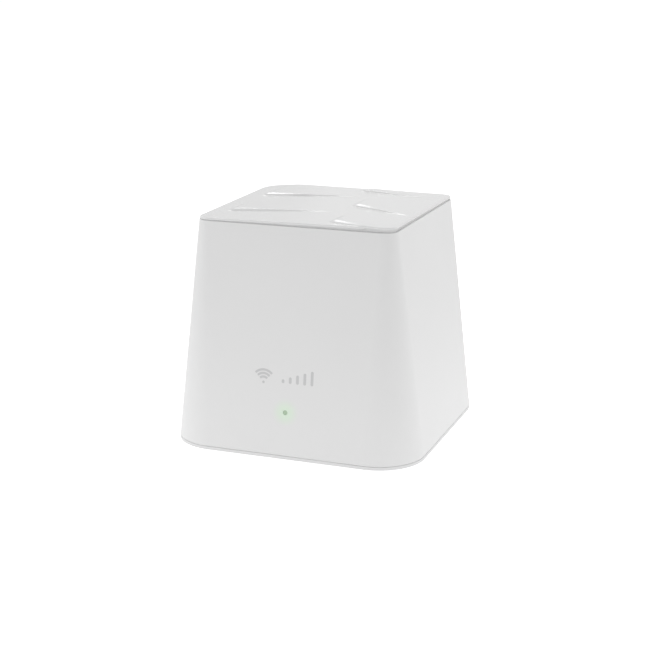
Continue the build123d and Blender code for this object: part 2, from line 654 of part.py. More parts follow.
# ---------------------------------------------------------------- vent frame under the cover
DECK_LOW = 76.4
DECK_TOP = 77.9
FRAME_WALL = 1.6
FRAME_GAP = 0.2
POST_PLACE = 17.0
POST_RADIUS = 2.0
BRACKET_SCREW_PLACE = 24.5
FRAME_BOSS_LOW = 70.0
FRAME_BOSS_HOLE_TOP = 75.0
VENT_LENGTH = 8.0
VENT_WIDTH = 1.8
VENT_PITCH = 3.8
VENT_PLACE = 25.5
VENT_COUNT = 11
POST_POINTS = [(x, y) for x in (-POST_PLACE, POST_PLACE) for y in (-POST_PLACE, POST_PLACE)]
BRACKET_SCREW_POINTS = [
    (x, y)
    for x in (-BRACKET_SCREW_PLACE, BRACKET_SCREW_PLACE)
    for y in (-BRACKET_SCREW_PLACE, BRACKET_SCREW_PLACE)
]

with BuildPart() as vent_frame:
    add(tapered_block(FRAME_LOW, DECK_TOP, WALL + FRAME_GAP))
    add(tapered_block(FRAME_LOW - OVERSHOOT, DECK_LOW, WALL + FRAME_GAP + FRAME_WALL), mode=Mode.SUBTRACT)
    with BuildSketch(Plane.XY.offset(FRAME_BOSS_LOW)):
        with Locations(*BRACKET_SCREW_POINTS):
            Circle(3.0)
    extrude(amount=DECK_LOW - FRAME_BOSS_LOW)
    with BuildSketch(Plane.XY.offset(FRAME_BOSS_LOW)):
        with Locations(*BRACKET_SCREW_POINTS):
            Circle(BOARD_SCREW_RADIUS + SMALL_GAP)
    extrude(amount=FRAME_BOSS_HOLE_TOP - FRAME_BOSS_LOW, mode=Mode.SUBTRACT)
    with BuildSketch(Plane.XY.offset(DECK_LOW - OVERSHOOT)):
        with GridLocations(VENT_PITCH, 2 * VENT_PLACE, VENT_COUNT, 2):
            SlotOverall(VENT_LENGTH, VENT_WIDTH, rotation=90)
        with GridLocations(2 * VENT_PLACE, VENT_PITCH, 2, VENT_COUNT):
            SlotOverall(VENT_LENGTH, VENT_WIDTH)
        with Locations(*POST_POINTS):
            Circle(POST_RADIUS + SMALL_GAP)
    extrude(amount=DECK_TOP - DECK_LOW + 2 * OVERSHOOT, mode=Mode.SUBTRACT)
vent_frame.part.label = "vent_frame"
export_step(vent_frame.part, "parts/vent_frame.step")

# ---------------------------------------------------------------- antennas
BRACKET_HALF = 29.5
BRACKET_WALL = 1.4
BRACKET_LOW = 46.0
BRACKET_TOP = FRAME_BOSS_LOW
TAB_THICKNESS = 1.5
WINDOW_WIDTH = 25.0
WINDOW_HEIGHT = 8.0
ANTENNA_LENGTH = 40.0
ANTENNA_HEIGHT = 13.0
ANTENNA_THICKNESS = 0.8
ANTENNA_MID_Z = 56.5
STAKE_RADIUS = 0.9
STAKE_PLACE = 17.0
STAKE_LENGTH = 1.4
CABLE_RADIUS = 0.57
CABLE_GAP = 0.02
CONNECTOR_SIDE = 2.6
CONNECTOR_HEIGHT = 1.25
CABLE_OUT = BRACKET_HALF + ANTENNA_THICKNESS + CABLE_RADIUS + CABLE_GAP
CABLE_TOP = ANTENNA_MID_Z - 1.5
SIDES = ["front", "right", "rear", "left"]
# Where each board connector stands, seen from its own side: how far right, and how far from the middle.
CONNECTOR_PLACES = {
    "front": (-4.9, CABLE_OUT),
    "right": (-8.0, CABLE_OUT),
    "rear": (0.0, 19.0),
    "left": (8.0, CABLE_OUT),
}


def side_plane(side, distance):
    """An upright plane on one side of the case, at a distance from its middle, facing outwards."""
    turn = Location((0, 0, 0), (0, 0, 90 * SIDES.index(side)))
    return Plane(turn * Plane.XZ.offset(distance).location)


with BuildPart() as antenna_bracket:
    bracket_side = 2 * BRACKET_HALF
    with BuildSketch(Plane.XY.offset(BRACKET_LOW)):
        RectangleRounded(bracket_side, bracket_side, 4.0)
        bracket_inside = bracket_side - 2 * BRACKET_WALL
        RectangleRounded(bracket_inside, bracket_inside, 2.6, mode=Mode.SUBTRACT)
    extrude(amount=BRACKET_TOP - BRACKET_LOW)
    with BuildSketch(Plane.XY.offset(BRACKET_TOP - TAB_THICKNESS)):
        with Locations(*BRACKET_SCREW_POINTS):
            Rectangle(9.0, 9.0)
        RectangleRounded(bracket_side, bracket_side, 4.0, mode=Mode.INTERSECT)
    extrude(amount=TAB_THICKNESS)
    with BuildSketch(Plane.XY.offset(BRACKET_TOP - TAB_THICKNESS)):
        with Locations(*BRACKET_SCREW_POINTS):
            Circle(BOARD_SCREW_RADIUS + 0.1)
    extrude(amount=TAB_THICKNESS, mode=Mode.SUBTRACT)
    for side_name in SIDES:
        with BuildSketch(side_plane(side_name, BRACKET_HALF)):
            with Locations((-STAKE_PLACE, ANTENNA_MID_Z), (STAKE_PLACE, ANTENNA_MID_Z)):
                Circle(STAKE_RADIUS)
        extrude(amount=STAKE_LENGTH)
        with BuildSketch(side_plane(side_name, BRACKET_HALF - BRACKET_WALL - OVERSHOOT)):
            with Locations((0, ANTENNA_MID_Z)):
                RectangleRounded(WINDOW_WIDTH, WINDOW_HEIGHT, 2.0)
        extrude(amount=BRACKET_WALL + 2 * OVERSHOOT, mode=Mode.SUBTRACT)
antenna_bracket.part.label = "antenna_bracket"
export_step(antenna_bracket.part, "parts/antenna_bracket.step")

tab_bottom = BRACKET_TOP - TAB_THICKNESS
bracket_screws = screws(
    BRACKET_SCREW_POINTS,
    (2.0, tab_bottom - 1.4, tab_bottom),
    (BOARD_SCREW_RADIUS, tab_bottom, tab_bottom + 5.5),
    "below",
)
bracket_screws.part.label = "bracket_screws"
export_step(bracket_screws.part, "parts/bracket_screws.step")

with BuildPart() as antenna_connectors:
    for side_name, (along, out) in CONNECTOR_PLACES.items():
        with BuildSketch(side_plane(side_name, out - CONNECTOR_SIDE / 2)):
            with Locations((along, BOARD_TOP + CONNECTOR_HEIGHT / 2)):
                Rectangle(CONNECTOR_SIDE, CONNECTOR_HEIGHT)
        extrude(amount=CONNECTOR_SIDE)
antenna_connectors.part.label = "antenna_connectors"
export_step(antenna_connectors.part, "parts/antenna_connectors.step")

for side_name, (along, out) in CONNECTOR_PLACES.items():
    with BuildPart() as antenna_board:
        with BuildSketch(side_plane(side_name, BRACKET_HALF)):
            with Locations((0, ANTENNA_MID_Z)):
                RectangleRounded(ANTENNA_LENGTH, ANTENNA_HEIGHT, 1.0)
            with Locations((-STAKE_PLACE, ANTENNA_MID_Z), (STAKE_PLACE, ANTENNA_MID_Z)):
                Circle(STAKE_RADIUS + SMALL_GAP, mode=Mode.SUBTRACT)
        extrude(amount=ANTENNA_THICKNESS)
    antenna_board.part.label = f"antenna_{side_name}"
    export_step(antenna_board.part, f"parts/antenna_{side_name}.step")

    with BuildPart() as antenna_cable:
        with BuildLine(side_plane(side_name, 0)) as cable_path:
            FilletPolyline(
                (along, BOARD_TOP + CONNECTOR_HEIGHT, out),
                (along, 25.0, out),
                (along + 3.0, 31.0, (out + CABLE_OUT) / 2 + 1.2),
                (along - 1.0, 40.0, CABLE_OUT),
                (along - 1.0, CABLE_TOP, CABLE_OUT),
                radius=2.5,
            )
        with BuildSketch(Plane(origin=cable_path.line @ 0, z_dir=cable_path.line % 0)):
            Circle(CABLE_RADIUS)
        sweep(path=cable_path.line)
    antenna_cable.part.label = f"antenna_cable_{side_name}"
    export_step(antenna_cable.part, f"parts/antenna_cable_{side_name}.step")

# ---------------------------------------------------------------- top cover
# The cover stands on four posts, with a shadow gap between its lip and the shell's top edge. Low ridges, like
# wind-blown dunes, run across it: each has a steep face towards the front and a long slope behind. One set
# starts near the left edge, the other right of the middle, and all fade out to the right.
COVER_LIP = 0.7  # thickness of the cover's visible edge
COVER_LIP_WIDTH = 0.65  # how far the lip overhangs the skirt behind the gap
COVER_SKIRT_Z = 79.75  # underside of the skirt, just clear of the shell's top edge
COVER_CORE_Z = 79.0  # underside of the cover's middle, inside the shell's top edge
COVER_CORE_INSET = 3.0
CORNER_LIFT = (-0.5, 0.3, 0.2, -0.25)  # front left, front right, rear left, rear right
REAR_LEFT_DIP = 0.85  # how far the surface sinks at its rear left corner
DIP_REACH = 13.0
COVER_CEILING = 84.0
GRID_X = 75
GRID_Y = 150
RIDGE_FACE = 0.9  # length of a ridge's steep face, front to back
RIDGE_SHOULDER = 1.2  # length of the gentle rise above it, where the ridge starts
RIDGE_FALL = 20.0  # length of the slope behind it
RIDGE_HEIGHT = 0.85
# Each ridge: where it starts and ends across the width, its place front to back where it starts, how far it
# moves towards the back over the whole width, all as shares of the side, and the height of its shoulder.
RIDGES = [
    (0.095, 0.66, 0.222, 0.255, 0.12),
    (0.095, 0.66, 0.650, 0.284, 0.28),
    (0.670, 1.02, 0.083, -0.33, 0.28),
    (0.630, 1.05, 0.517, -0.49, 0.28),
    (0.535, 1.00, 0.935, -0.20, 0.0),
]


def blend(start, end, value):
    """A smooth step from 0 at start to 1 at end."""
    share = min(1.0, max(0.0, (value - start) / (end - start)))
    return share * share * (3 - 2 * share)


def ridge_height(across, back, ridge):
    """Height that one ridge adds to the cover at a place."""
    start, end, place, slope, shoulder_height = ridge
    behind = (back - place - slope * (across - start)) * TOP_SIDE
    along = blend(start - 0.02, start + 0.02, across) * (1 - blend(start, end, across))
    shoulder = shoulder_height * (1 - blend(start + 0.04, start + 0.22, across))
    up_face = blend(-RIDGE_SHOULDER - RIDGE_FACE, -RIDGE_SHOULDER, behind)
    over_shoulder = min(1.0, max(0.0, behind / RIDGE_SHOULDER + 1))
    long_slope = (1 - min(1.0, max(0.0, behind / RIDGE_FALL))) ** 1.6
    return along * long_slope * ((RIDGE_HEIGHT - shoulder) * up_face + shoulder * over_shoulder)


def cover_height(x, y):
    """Height of the cover's top at a place."""
    across = x / TOP_SIDE + 0.5
    back = y / TOP_SIDE + 0.5
    front_lift = CORNER_LIFT[0] * (1 - across) + CORNER_LIFT[1] * across
    rear_lift = CORNER_LIFT[2] * (1 - across) + CORNER_LIFT[3] * across
    to_corner = math.hypot(x + TOP_SIDE / 2, y - TOP_SIDE / 2)
    dip = REAR_LEFT_DIP * (1 - blend(0, DIP_REACH, to_corner))
    plane = front_lift * (1 - back) + rear_lift * back - dip
    return COVER_EDGE_Z + plane + sum(ridge_height(across, back, ridge) for ridge in RIDGES)


half_grid = TOP_SIDE / 2 + 2.0
columns = [half_grid * (2 * step / (GRID_X - 1) - 1) for step in range(GRID_X)]
rows = [half_grid * (2 * step / (GRID_Y - 1) - 1) for step in range(GRID_Y)]
grid_points = [[Vector(x, y, cover_height(x, y)) for y in rows] for x in columns]
ridge_face = Face.make_surface_from_array_of_points(grid_points, tol=0.05, min_deg=3, max_deg=3)
under_ridges = extrude(ridge_face, amount=12, dir=(0, 0, -1))
skirt_block = tapered_block(70.0, COVER_CEILING, COVER_LIP_WIDTH)
below_lip = under_ridges.moved(Location((0, 0, -COVER_LIP))) - skirt_block

with BuildPart() as top_cover:
    add(tapered_block(COVER_SKIRT_Z, COVER_CEILING))
    add(under_ridges, mode=Mode.INTERSECT)
    add(below_lip, mode=Mode.SUBTRACT)
    add(tapered_block(COVER_CORE_Z, COVER_SKIRT_Z, COVER_CORE_INSET))
    with BuildSketch(Plane.XY.offset(DECK_TOP)):
        with Locations(*POST_POINTS):
            Circle(POST_RADIUS + 1.5)
    extrude(amount=COVER_CORE_Z - DECK_TOP)
    with BuildSketch(Plane.XY.offset(DECK_TOP)):
        with Locations(*POST_POINTS):
            Circle(POST_RADIUS)
    extrude(amount=-2.4)
top_cover.part.label = "top_cover"
export_step(top_cover.part, "parts/top_cover.step")
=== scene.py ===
"""A small white mesh router: looks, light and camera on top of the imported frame."""
import math

import bmesh
import bpy
from mathutils import Matrix, Vector


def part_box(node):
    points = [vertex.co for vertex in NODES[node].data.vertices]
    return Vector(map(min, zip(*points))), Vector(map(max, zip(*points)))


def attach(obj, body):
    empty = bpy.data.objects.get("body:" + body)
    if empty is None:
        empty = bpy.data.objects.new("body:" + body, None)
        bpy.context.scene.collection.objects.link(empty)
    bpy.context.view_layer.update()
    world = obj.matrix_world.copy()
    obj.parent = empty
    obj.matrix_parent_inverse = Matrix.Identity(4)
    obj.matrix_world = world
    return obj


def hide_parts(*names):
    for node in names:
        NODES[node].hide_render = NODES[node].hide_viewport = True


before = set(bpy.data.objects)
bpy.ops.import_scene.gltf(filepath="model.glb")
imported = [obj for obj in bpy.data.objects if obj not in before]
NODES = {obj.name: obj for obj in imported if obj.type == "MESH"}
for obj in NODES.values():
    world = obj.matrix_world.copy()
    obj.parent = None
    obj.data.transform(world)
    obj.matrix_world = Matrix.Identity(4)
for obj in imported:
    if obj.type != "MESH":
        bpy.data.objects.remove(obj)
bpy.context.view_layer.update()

MM = 0.001


# ---------------------------------------------------------------- camera, in degrees and millimetres
CAMERA_AZIMUTH, CAMERA_ELEVATION = 20.4, 15.1  # degrees to the right of the front and above the horizon
CAMERA_DISTANCE = 530
CAMERA_LENS, SENSOR_WIDTH = 81.4, 36.0
AIM_RIGHT, AIM_HEIGHT = -1.56, 36.9  # the middle of the picture: how far right of the axis, and how high


def make_camera():
    azimuth, elevation = math.radians(CAMERA_AZIMUTH), math.radians(CAMERA_ELEVATION)
    back = Vector((
        math.sin(azimuth) * math.cos(elevation),
        -math.cos(azimuth) * math.cos(elevation),
        math.sin(elevation),
    ))
    right = Vector((math.cos(azimuth), math.sin(azimuth), 0))
    target = right * AIM_RIGHT * MM + Vector((0, 0, AIM_HEIGHT * MM))
    data = bpy.data.cameras.new("camera")
    data.sensor_width = SENSOR_WIDTH
    data.lens = CAMERA_LENS
    data.clip_start, data.clip_end = 0.01, 50.0
    camera = bpy.data.objects.new("camera", data)
    bpy.context.scene.collection.objects.link(camera)
    camera.location = target + back * CAMERA_DISTANCE * MM
    camera.rotation_mode = "QUATERNION"
    camera.rotation_quaternion = (-back).to_track_quat("-Z", "Y")
    bpy.context.scene.camera = camera


make_camera()


# ---------------------------------------------------------------- node helpers
def new_material(name):
    material = bpy.data.materials.new(name)
    material.use_nodes = True
    tree = material.node_tree
    return material, tree, tree.nodes["Principled BSDF"]


def object_coords(tree, scale=1.0):
    coords = tree.nodes.new("ShaderNodeTexCoord")
    mapping = tree.nodes.new("ShaderNodeMapping")
    mapping.inputs["Scale"].default_value = (scale,) * 3
    tree.links.new(coords.outputs["Object"], mapping.inputs["Vector"])
    return mapping.outputs["Vector"]


def noise(tree, vector, scale, detail=2.0, roughness=0.5):
    node = tree.nodes.new("ShaderNodeTexNoise")
    node.inputs["Scale"].default_value = scale
    node.inputs["Detail"].default_value = detail
    node.inputs["Roughness"].default_value = roughness
    tree.links.new(vector, node.inputs["Vector"])
    return node.outputs["Fac"]


def ramp(tree, value, low, high, at_low=0.0, at_high=1.0):
    node = tree.nodes.new("ShaderNodeMapRange")
    node.inputs["From Min"].default_value = low
    node.inputs["From Max"].default_value = high
    node.inputs["To Min"].default_value = at_low
    node.inputs["To Max"].default_value = at_high
    tree.links.new(value, node.inputs["Value"])
    return node.outputs["Result"]


def mix_color(tree, factor, a, b):
    node = tree.nodes.new("ShaderNodeMix")
    node.data_type = "RGBA"
    tree.links.new(factor, node.inputs["Factor"])
    node.inputs["A"].default_value = (*a, 1)
    node.inputs["B"].default_value = (*b, 1)
    return node.outputs["Result"]


def bump(tree, shader, height, distance, strength=1.0):
    node = tree.nodes.new("ShaderNodeBump")
    node.inputs["Distance"].default_value = distance
    node.inputs["Strength"].default_value = strength
    tree.links.new(height, node.inputs["Height"])
    tree.links.new(node.outputs["Normal"], shader.inputs["Normal"])


def plastic(name, color, roughness=0.45, grain=0.000012, grain_scale=7000.0, tone=0.012, specular=0.5):
    """Moulded plastic: a fine sparked texture and a slight variation of tone and gloss."""
    material, tree, shader = new_material(name)
    place = object_coords(tree)
    fine = noise(tree, place, grain_scale, 2.0)
    broad = noise(tree, place, 35.0, 3.0)
    dark = [c * (1 - tone) for c in color]
    light = [min(1.0, c * (1 + tone)) for c in color]
    tree.links.new(mix_color(tree, broad, dark, light), shader.inputs["Base Color"])
    gloss = ramp(tree, fine, 0.3, 0.7, roughness - 0.03, roughness + 0.05)
    tree.links.new(gloss, shader.inputs["Roughness"])
    shader.inputs["Specular IOR Level"].default_value = specular
    bump(tree, shader, fine, grain)
    return material


def add_light_halo(material, centre, color, reach):
    """Paints a glow into a plastic's colour: a tint round a place where a light shines through from inside.
    """
    tree = material.node_tree
    shader = tree.nodes["Principled BSDF"]
    base = shader.inputs["Base Color"].links[0].from_socket
    offset = tree.nodes.new("ShaderNodeVectorMath")
    offset.operation = "DISTANCE"
    offset.inputs[1].default_value = centre
    tree.links.new(object_coords(tree), offset.inputs[0])
    strength = tree.nodes.new("ShaderNodeMapRange")
    strength.interpolation_type = "SMOOTHERSTEP"
    strength.inputs["From Min"].default_value = 0.0
    strength.inputs["From Max"].default_value = reach
    strength.inputs["To Min"].default_value = 1.0
    strength.inputs["To Max"].default_value = 0.0
    tree.links.new(offset.outputs["Value"], strength.inputs["Value"])
    tint = tree.nodes.new("ShaderNodeMix")
    tint.data_type = "RGBA"
    tint.blend_type = "MULTIPLY"
    tint.inputs["B"].default_value = (*color, 1)
    tree.links.new(strength.outputs["Result"], tint.inputs["Factor"])
    tree.links.new(base, tint.inputs["A"])
    tree.links.new(tint.outputs["Result"], shader.inputs["Base Color"])
    return material


def metal(name, color, roughness=0.35, stretch=(40.0, 900.0, 900.0), depth=0.000004):
    """Sheet or turned metal with fine scratches along one direction and slightly uneven gloss."""
    material, tree, shader = new_material(name)
    shader.inputs["Metallic"].default_value = 1.0
    coords = tree.nodes.new("ShaderNodeTexCoord")
    mapping = tree.nodes.new("ShaderNodeMapping")
    mapping.inputs["Scale"].default_value = stretch
    tree.links.new(coords.outputs["Object"], mapping.inputs["Vector"])
    scratches = noise(tree, mapping.outputs["Vector"], 6.0, 4.0, 0.6)
    clouds = noise(tree, coords.outputs["Object"], 300.0, 3.0)
    dark = [c * 0.86 for c in color]
    tree.links.new(mix_color(tree, clouds, dark, color), shader.inputs["Base Color"])
    gloss = ramp(tree, scratches, 0.25, 0.75, roughness - 0.08, roughness + 0.12)
    tree.links.new(gloss, shader.inputs["Roughness"])
    bump(tree, shader, scratches, depth)
    return material


def laminate(name, board, track):
    """A printed circuit board: solder resist over a pattern of tracks, with small tinned pads."""
    material, tree, shader = new_material(name)
    place = object_coords(tree)
    bricks = tree.nodes.new("ShaderNodeTexBrick")
    bricks.inputs["Scale"].default_value = 260.0
    bricks.inputs["Mortar Size"].default_value = 0.035
    bricks.inputs["Color1"].default_value = (1, 1, 1, 1)
    bricks.inputs["Color2"].default_value = (0.75, 0.75, 0.75, 1)
    bricks.inputs["Mortar"].default_value = (0, 0, 0, 1)
    tree.links.new(place, bricks.inputs["Vector"])
    patches = noise(tree, place, 90.0, 2.0)
    both = tree.nodes.new("ShaderNodeMath")
    both.operation = "MULTIPLY"
    tree.links.new(bricks.outputs["Color"], both.inputs[0])
    tree.links.new(ramp(tree, patches, 0.42, 0.50), both.inputs[1])
    cells = tree.nodes.new("ShaderNodeTexVoronoi")
    cells.inputs["Scale"].default_value = 330.0
    tree.links.new(place, cells.inputs["Vector"])
    pads = ramp(tree, cells.outputs["Distance"], 0.13, 0.10)
    under_resist = mix_color(tree, both.outputs["Value"], board, track)
    finish = tree.nodes.new("ShaderNodeMix")
    finish.data_type = "RGBA"
    finish.inputs["B"].default_value = (0.62, 0.62, 0.60, 1)
    tree.links.new(pads, finish.inputs["Factor"])
    tree.links.new(under_resist, finish.inputs["A"])
    tree.links.new(finish.outputs["Result"], shader.inputs["Base Color"])
    tree.links.new(ramp(tree, pads, 0, 1, 0.32, 0.22), shader.inputs["Roughness"])
    tree.links.new(ramp(tree, pads, 0, 1, 0.0, 0.9), shader.inputs["Metallic"])
    bump(tree, shader, both.outputs["Value"], 0.00002)
    return material


def lit_plastic(name, color, glow, strength):
    """Clear or diffusing plastic with light inside it, a little uneven."""
    material, tree, shader = new_material(name)
    clouds = noise(tree, object_coords(tree), 900.0, 2.0)
    dark = [c * 0.9 for c in color]
    tree.links.new(mix_color(tree, clouds, dark, color), shader.inputs["Base Color"])
    tree.links.new(ramp(tree, clouds, 0.3, 0.7, 0.18, 0.28), shader.inputs["Roughness"])
    shader.inputs["Emission Color"].default_value = (*glow, 1)
    brightness = ramp(tree, clouds, 0.3, 0.7, strength * 0.9, strength * 1.1)
    tree.links.new(brightness, shader.inputs["Emission Strength"])
    return material


def sleeved_can(name):
    """An electrolytic capacitor: a dark sleeve round a bare aluminium top."""
    material, tree, shader = new_material(name)
    place = object_coords(tree)
    split = tree.nodes.new("ShaderNodeSeparateXYZ")
    geometry = tree.nodes.new("ShaderNodeNewGeometry")
    tree.links.new(geometry.outputs["Normal"], split.inputs["Vector"])
    top = ramp(tree, split.outputs["Z"], 0.6, 0.8)
    clouds = noise(tree, place, 400.0, 3.0)
    sleeve = mix_color(tree, clouds, (0.02, 0.02, 0.03), (0.035, 0.035, 0.05))
    both = tree.nodes.new("ShaderNodeMix")
    both.data_type = "RGBA"
    both.inputs["B"].default_value = (0.72, 0.73, 0.75, 1)
    tree.links.new(top, both.inputs["Factor"])
    tree.links.new(sleeve, both.inputs["A"])
    tree.links.new(both.outputs["Result"], shader.inputs["Base Color"])
    tree.links.new(top, shader.inputs["Metallic"])
    tree.links.new(ramp(tree, clouds, 0.3, 0.7, 0.28, 0.4), shader.inputs["Roughness"])
    return material


def cover_slots(material, *names):
    for name in names:
        node = NODES[name]
        if not node.data.materials:
            node.data.materials.append(material)
        for slot in node.material_slots:
            slot.material = material


# ---------------------------------------------------------------- materials of the CAD pieces
pipe_low, pipe_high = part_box("light_pipe")
PIPE_TIP_DROP = 1.1 * MM  # the middle of the pipe's tip is this far below the pipe's top
LIGHT_PLACE = Vector((0, pipe_low.y, pipe_high.z - PIPE_TIP_DROP))
# painted glow: the shell's colour is tinted green round the light pipe's tip, standing in for the light
# shining through the plastic
HALO_COLOR, HALO_REACH = (0.93, 1.08, 0.91), 6 * MM
WHITE = (0.80, 0.80, 0.80)
shell_plastic = add_light_halo(plastic("shell_plastic", WHITE), LIGHT_PLACE, HALO_COLOR, HALO_REACH)
cover_plastic = plastic("cover_plastic", WHITE, roughness=0.24)
base_plastic = plastic("base_plastic", (0.78, 0.78, 0.78), roughness=0.5, grain=0.00003)
panel_plastic = plastic("panel_plastic", (0.76, 0.76, 0.76), roughness=0.5, grain=0.00002)
inner_plastic = plastic("inner_plastic", (0.66, 0.66, 0.66), roughness=0.55)
bracket_plastic = plastic("bracket_plastic", (0.70, 0.70, 0.68), roughness=0.5)
foot_rubber = plastic(
    "foot_rubber", (0.30, 0.30, 0.305),
    roughness=0.75, grain=0.00006, grain_scale=3500.0, specular=0.3,
)
label_film = plastic("label_film", (0.62, 0.63, 0.64), roughness=0.3, grain=0.000004)
chip_plastic = plastic("chip_plastic", (0.03, 0.03, 0.032), roughness=0.5, grain=0.00002)
socket_plastic = plastic("socket_plastic", (0.025, 0.025, 0.027), roughness=0.42)
jack_plastic = plastic("jack_plastic", (0.02, 0.02, 0.021), roughness=0.32)
button_plastic = plastic("button_plastic", (0.32, 0.33, 0.34), roughness=0.4)
pad_silicone = plastic("pad_silicone", (0.35, 0.42, 0.50), roughness=0.8)
ferrite = plastic("ferrite", (0.06, 0.06, 0.062), roughness=0.7, grain=0.00005)
cable_jacket = plastic("cable_jacket", (0.05, 0.05, 0.055), roughness=0.35)
screw_steel = metal("screw_steel", (0.62, 0.62, 0.63), 0.32)
shield_tin = metal("shield_tin", (0.74, 0.73, 0.71), 0.38)
sink_aluminium = metal("sink_aluminium", (0.80, 0.81, 0.82), 0.4, (900.0, 40.0, 900.0))
jack_metal = metal("jack_metal", (0.78, 0.77, 0.74), 0.2)
contact_gold = metal("contact_gold", (0.86, 0.62, 0.24), 0.25)

cover_slots(shell_plastic, "outer_shell")
cover_slots(cover_plastic, "top_cover")
cover_slots(base_plastic, "base_plate")
cover_slots(panel_plastic, "rear_port_panel")
cover_slots(inner_plastic, "vent_frame")
cover_slots(bracket_plastic, "antenna_bracket")
cover_slots(foot_rubber, "foot_front_left", "foot_front_right", "foot_rear_left", "foot_rear_right")
cover_slots(label_film, "rating_label")
cover_slots(screw_steel, "base_screws", "board_screws", "bracket_screws")
cover_slots(laminate("board_laminate", (0.01, 0.10, 0.05), (0.02, 0.17, 0.09)), "main_board")
cover_slots(
    laminate("antenna_laminate", (0.015, 0.02, 0.02), (0.04, 0.05, 0.05)),
    "antenna_front", "antenna_right", "antenna_rear", "antenna_left",
)
cover_slots(
    chip_plastic,
    "router_processor", "memory_chip", "flash_chip", "radio_chip_5g", "radio_chip_2g",
    "wan_transformer", "lan_transformer", "reset_switch_body",
)
cover_slots(pad_silicone, "thermal_pad")
cover_slots(sink_aluminium, "heat_sink")
cover_slots(
    shield_tin,
    "radio_shield_5g", "radio_shield_2g", "clock_crystals", "wan_port_shield", "lan_port_shield",
)
cover_slots(socket_plastic, "wan_port_housing", "lan_port_housing")
cover_slots(contact_gold, "wan_port_contacts", "lan_port_contacts", "antenna_connectors")
cover_slots(ferrite, "supply_inductor")
cover_slots(sleeved_can("capacitor_can"), "filter_capacitors")
cover_slots(jack_plastic, "power_jack_body")
cover_slots(jack_metal, "power_jack_pin", "power_jack_spring")
cover_slots(button_plastic, "reset_button_cap", "reset_switch_plunger")
cover_slots(lit_plastic("led_package", (0.6, 0.8, 0.55), (0.1, 1.0, 0.2), 1.5), "status_led")
cover_slots(lit_plastic("pipe_plastic", (0.38, 0.47, 0.36), (0.30, 0.46, 0.28), 0.22), "light_pipe")
cover_slots(
    cable_jacket,
    "antenna_cable_front", "antenna_cable_right", "antenna_cable_rear", "antenna_cable_left",
)


# ---------------------------------------------------------------- case outline, in millimetres
BASE_Z, TAPER_HEIGHT = 0.9, 80.1
BASE_SIDE, TOP_SIDE = 90.0, 70.8
BASE_RADIUS, TOP_RADIUS = 16.8, 4.5


def half_side(z):
    return (BASE_SIDE + (TOP_SIDE - BASE_SIDE) * (z - BASE_Z) / TAPER_HEIGHT) / 2


def corner_radius(z):
    return BASE_RADIUS + (TOP_RADIUS - BASE_RADIUS) * (z - BASE_Z) / TAPER_HEIGHT


def rounded_square(half, radius, side_steps, corner_steps):
    """Points round a square with rounded corners, anticlockwise. Their number doesn't depend on the size."""
    points = []
    for quarter in range(4):
        angle = quarter * math.pi / 2
        turn = Matrix.Rotation(angle, 2)
        straight = half - radius
        for step in range(side_steps):
            along = -straight + 2 * straight * step / side_steps
            points.append(turn @ Vector((along, -half)))
        for step in range(corner_steps):
            bend = -math.pi / 2 + math.pi / 2 * step / corner_steps
            across, back = radius * math.cos(bend), radius * math.sin(bend)
            points.append(turn @ Vector((straight + across, -straight + back)))
    return points


MERGE_DISTANCE, SHORTEST_EDGE = 0.000004, 0.000001  # metres


def piece_from_rings(name, rings, material, close_start=True, close_end=True):
    """A smooth skin over rings of points in millimetres, each ring with the same number of points."""
    build = bmesh.new()
    made = [[build.verts.new(Vector(point) * MM) for point in ring] for ring in rings]
    count = len(rings[0])
    for near, far in zip(made, made[1:]):
        for step in range(count):
            after = (step + 1) % count
            build.faces.new((near[step], near[after], far[after], far[step]))
    if close_start:
        build.faces.new(list(reversed(made[0])))
    if close_end:
        build.faces.new(made[-1])
    bmesh.ops.remove_doubles(build, verts=build.verts, dist=MERGE_DISTANCE)
    bmesh.ops.dissolve_degenerate(build, edges=build.edges, dist=SHORTEST_EDGE)
    bmesh.ops.recalc_face_normals(build, faces=build.faces)
    for face in build.faces:
        face.smooth = True
    mesh = bpy.data.meshes.new(name)
    build.to_mesh(mesh)
    build.free()
    mesh.materials.append(material)
    piece = bpy.data.objects.new(name, mesh)
    bpy.context.scene.collection.objects.link(piece)
    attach(piece, "case")
    return piece


# ---------------------------------------------------------------- top cover
CORNER_LIFT = (-0.5, 0.3, 0.2, -0.25)  # front left, front right, rear left, rear right
REAR_LEFT_DIP, DIP_REACH = 0.85, 13.0
RIDGE_FACE, RIDGE_SHOULDER = 0.9, 1.2  # lengths front to back of the steep face and of the shoulder above it
FADED_FACE = 0.3  # the face gets shorter as a ridge fades out, but not below this share
SLOPE_CURVE = 1.6  # how hollow the slope behind a ridge is
RIDGE_BLUNT = 0.02  # half the stretch over which a ridge rises at its start, as a share of the side
SHOULDER_FADE = 0.04, 0.22  # how far from a ridge's start the shoulder starts to fade and is gone, as shares
# Each ridge: where it starts and ends across the width, how far back it starts, and how much further back it
# would be after the whole width, all as shares of the side. Then, in millimetres, the height of its shoulder,
# its full height and the length of the slope behind it.
RIDGES = [
    (0.095, 0.66, 0.222, 0.255, 0.12, 0.85, 20.0),
    (0.095, 0.66, 0.650, 0.284, 0.28, 0.85, 20.0),
    (0.670, 1.02, 0.083, -0.33, 0.28, 0.85, 20.0),
    (0.630, 1.05, 0.517, -0.49, 0.28, 0.85, 20.0),
    (0.535, 1.00, 0.935, -0.20, 0.0, 0.65, 10.0),
]
LIP_LEFT, LIP_RIGHT = 0.74, 0.60  # thickness of the lip at the left and right sides, set by the look of it
EDGE_ROUND, UNDER_ROUND = 0.32, 0.15  # rounding of the lip's upper and lower edges
NECK_INSET, SKIRT_Z = 0.21, 79.58  # the neck behind the gap, down to the underside of the skirt
CORE_INSET, CORE_Z = 3.0, 79.0  # the closed middle below the skirt
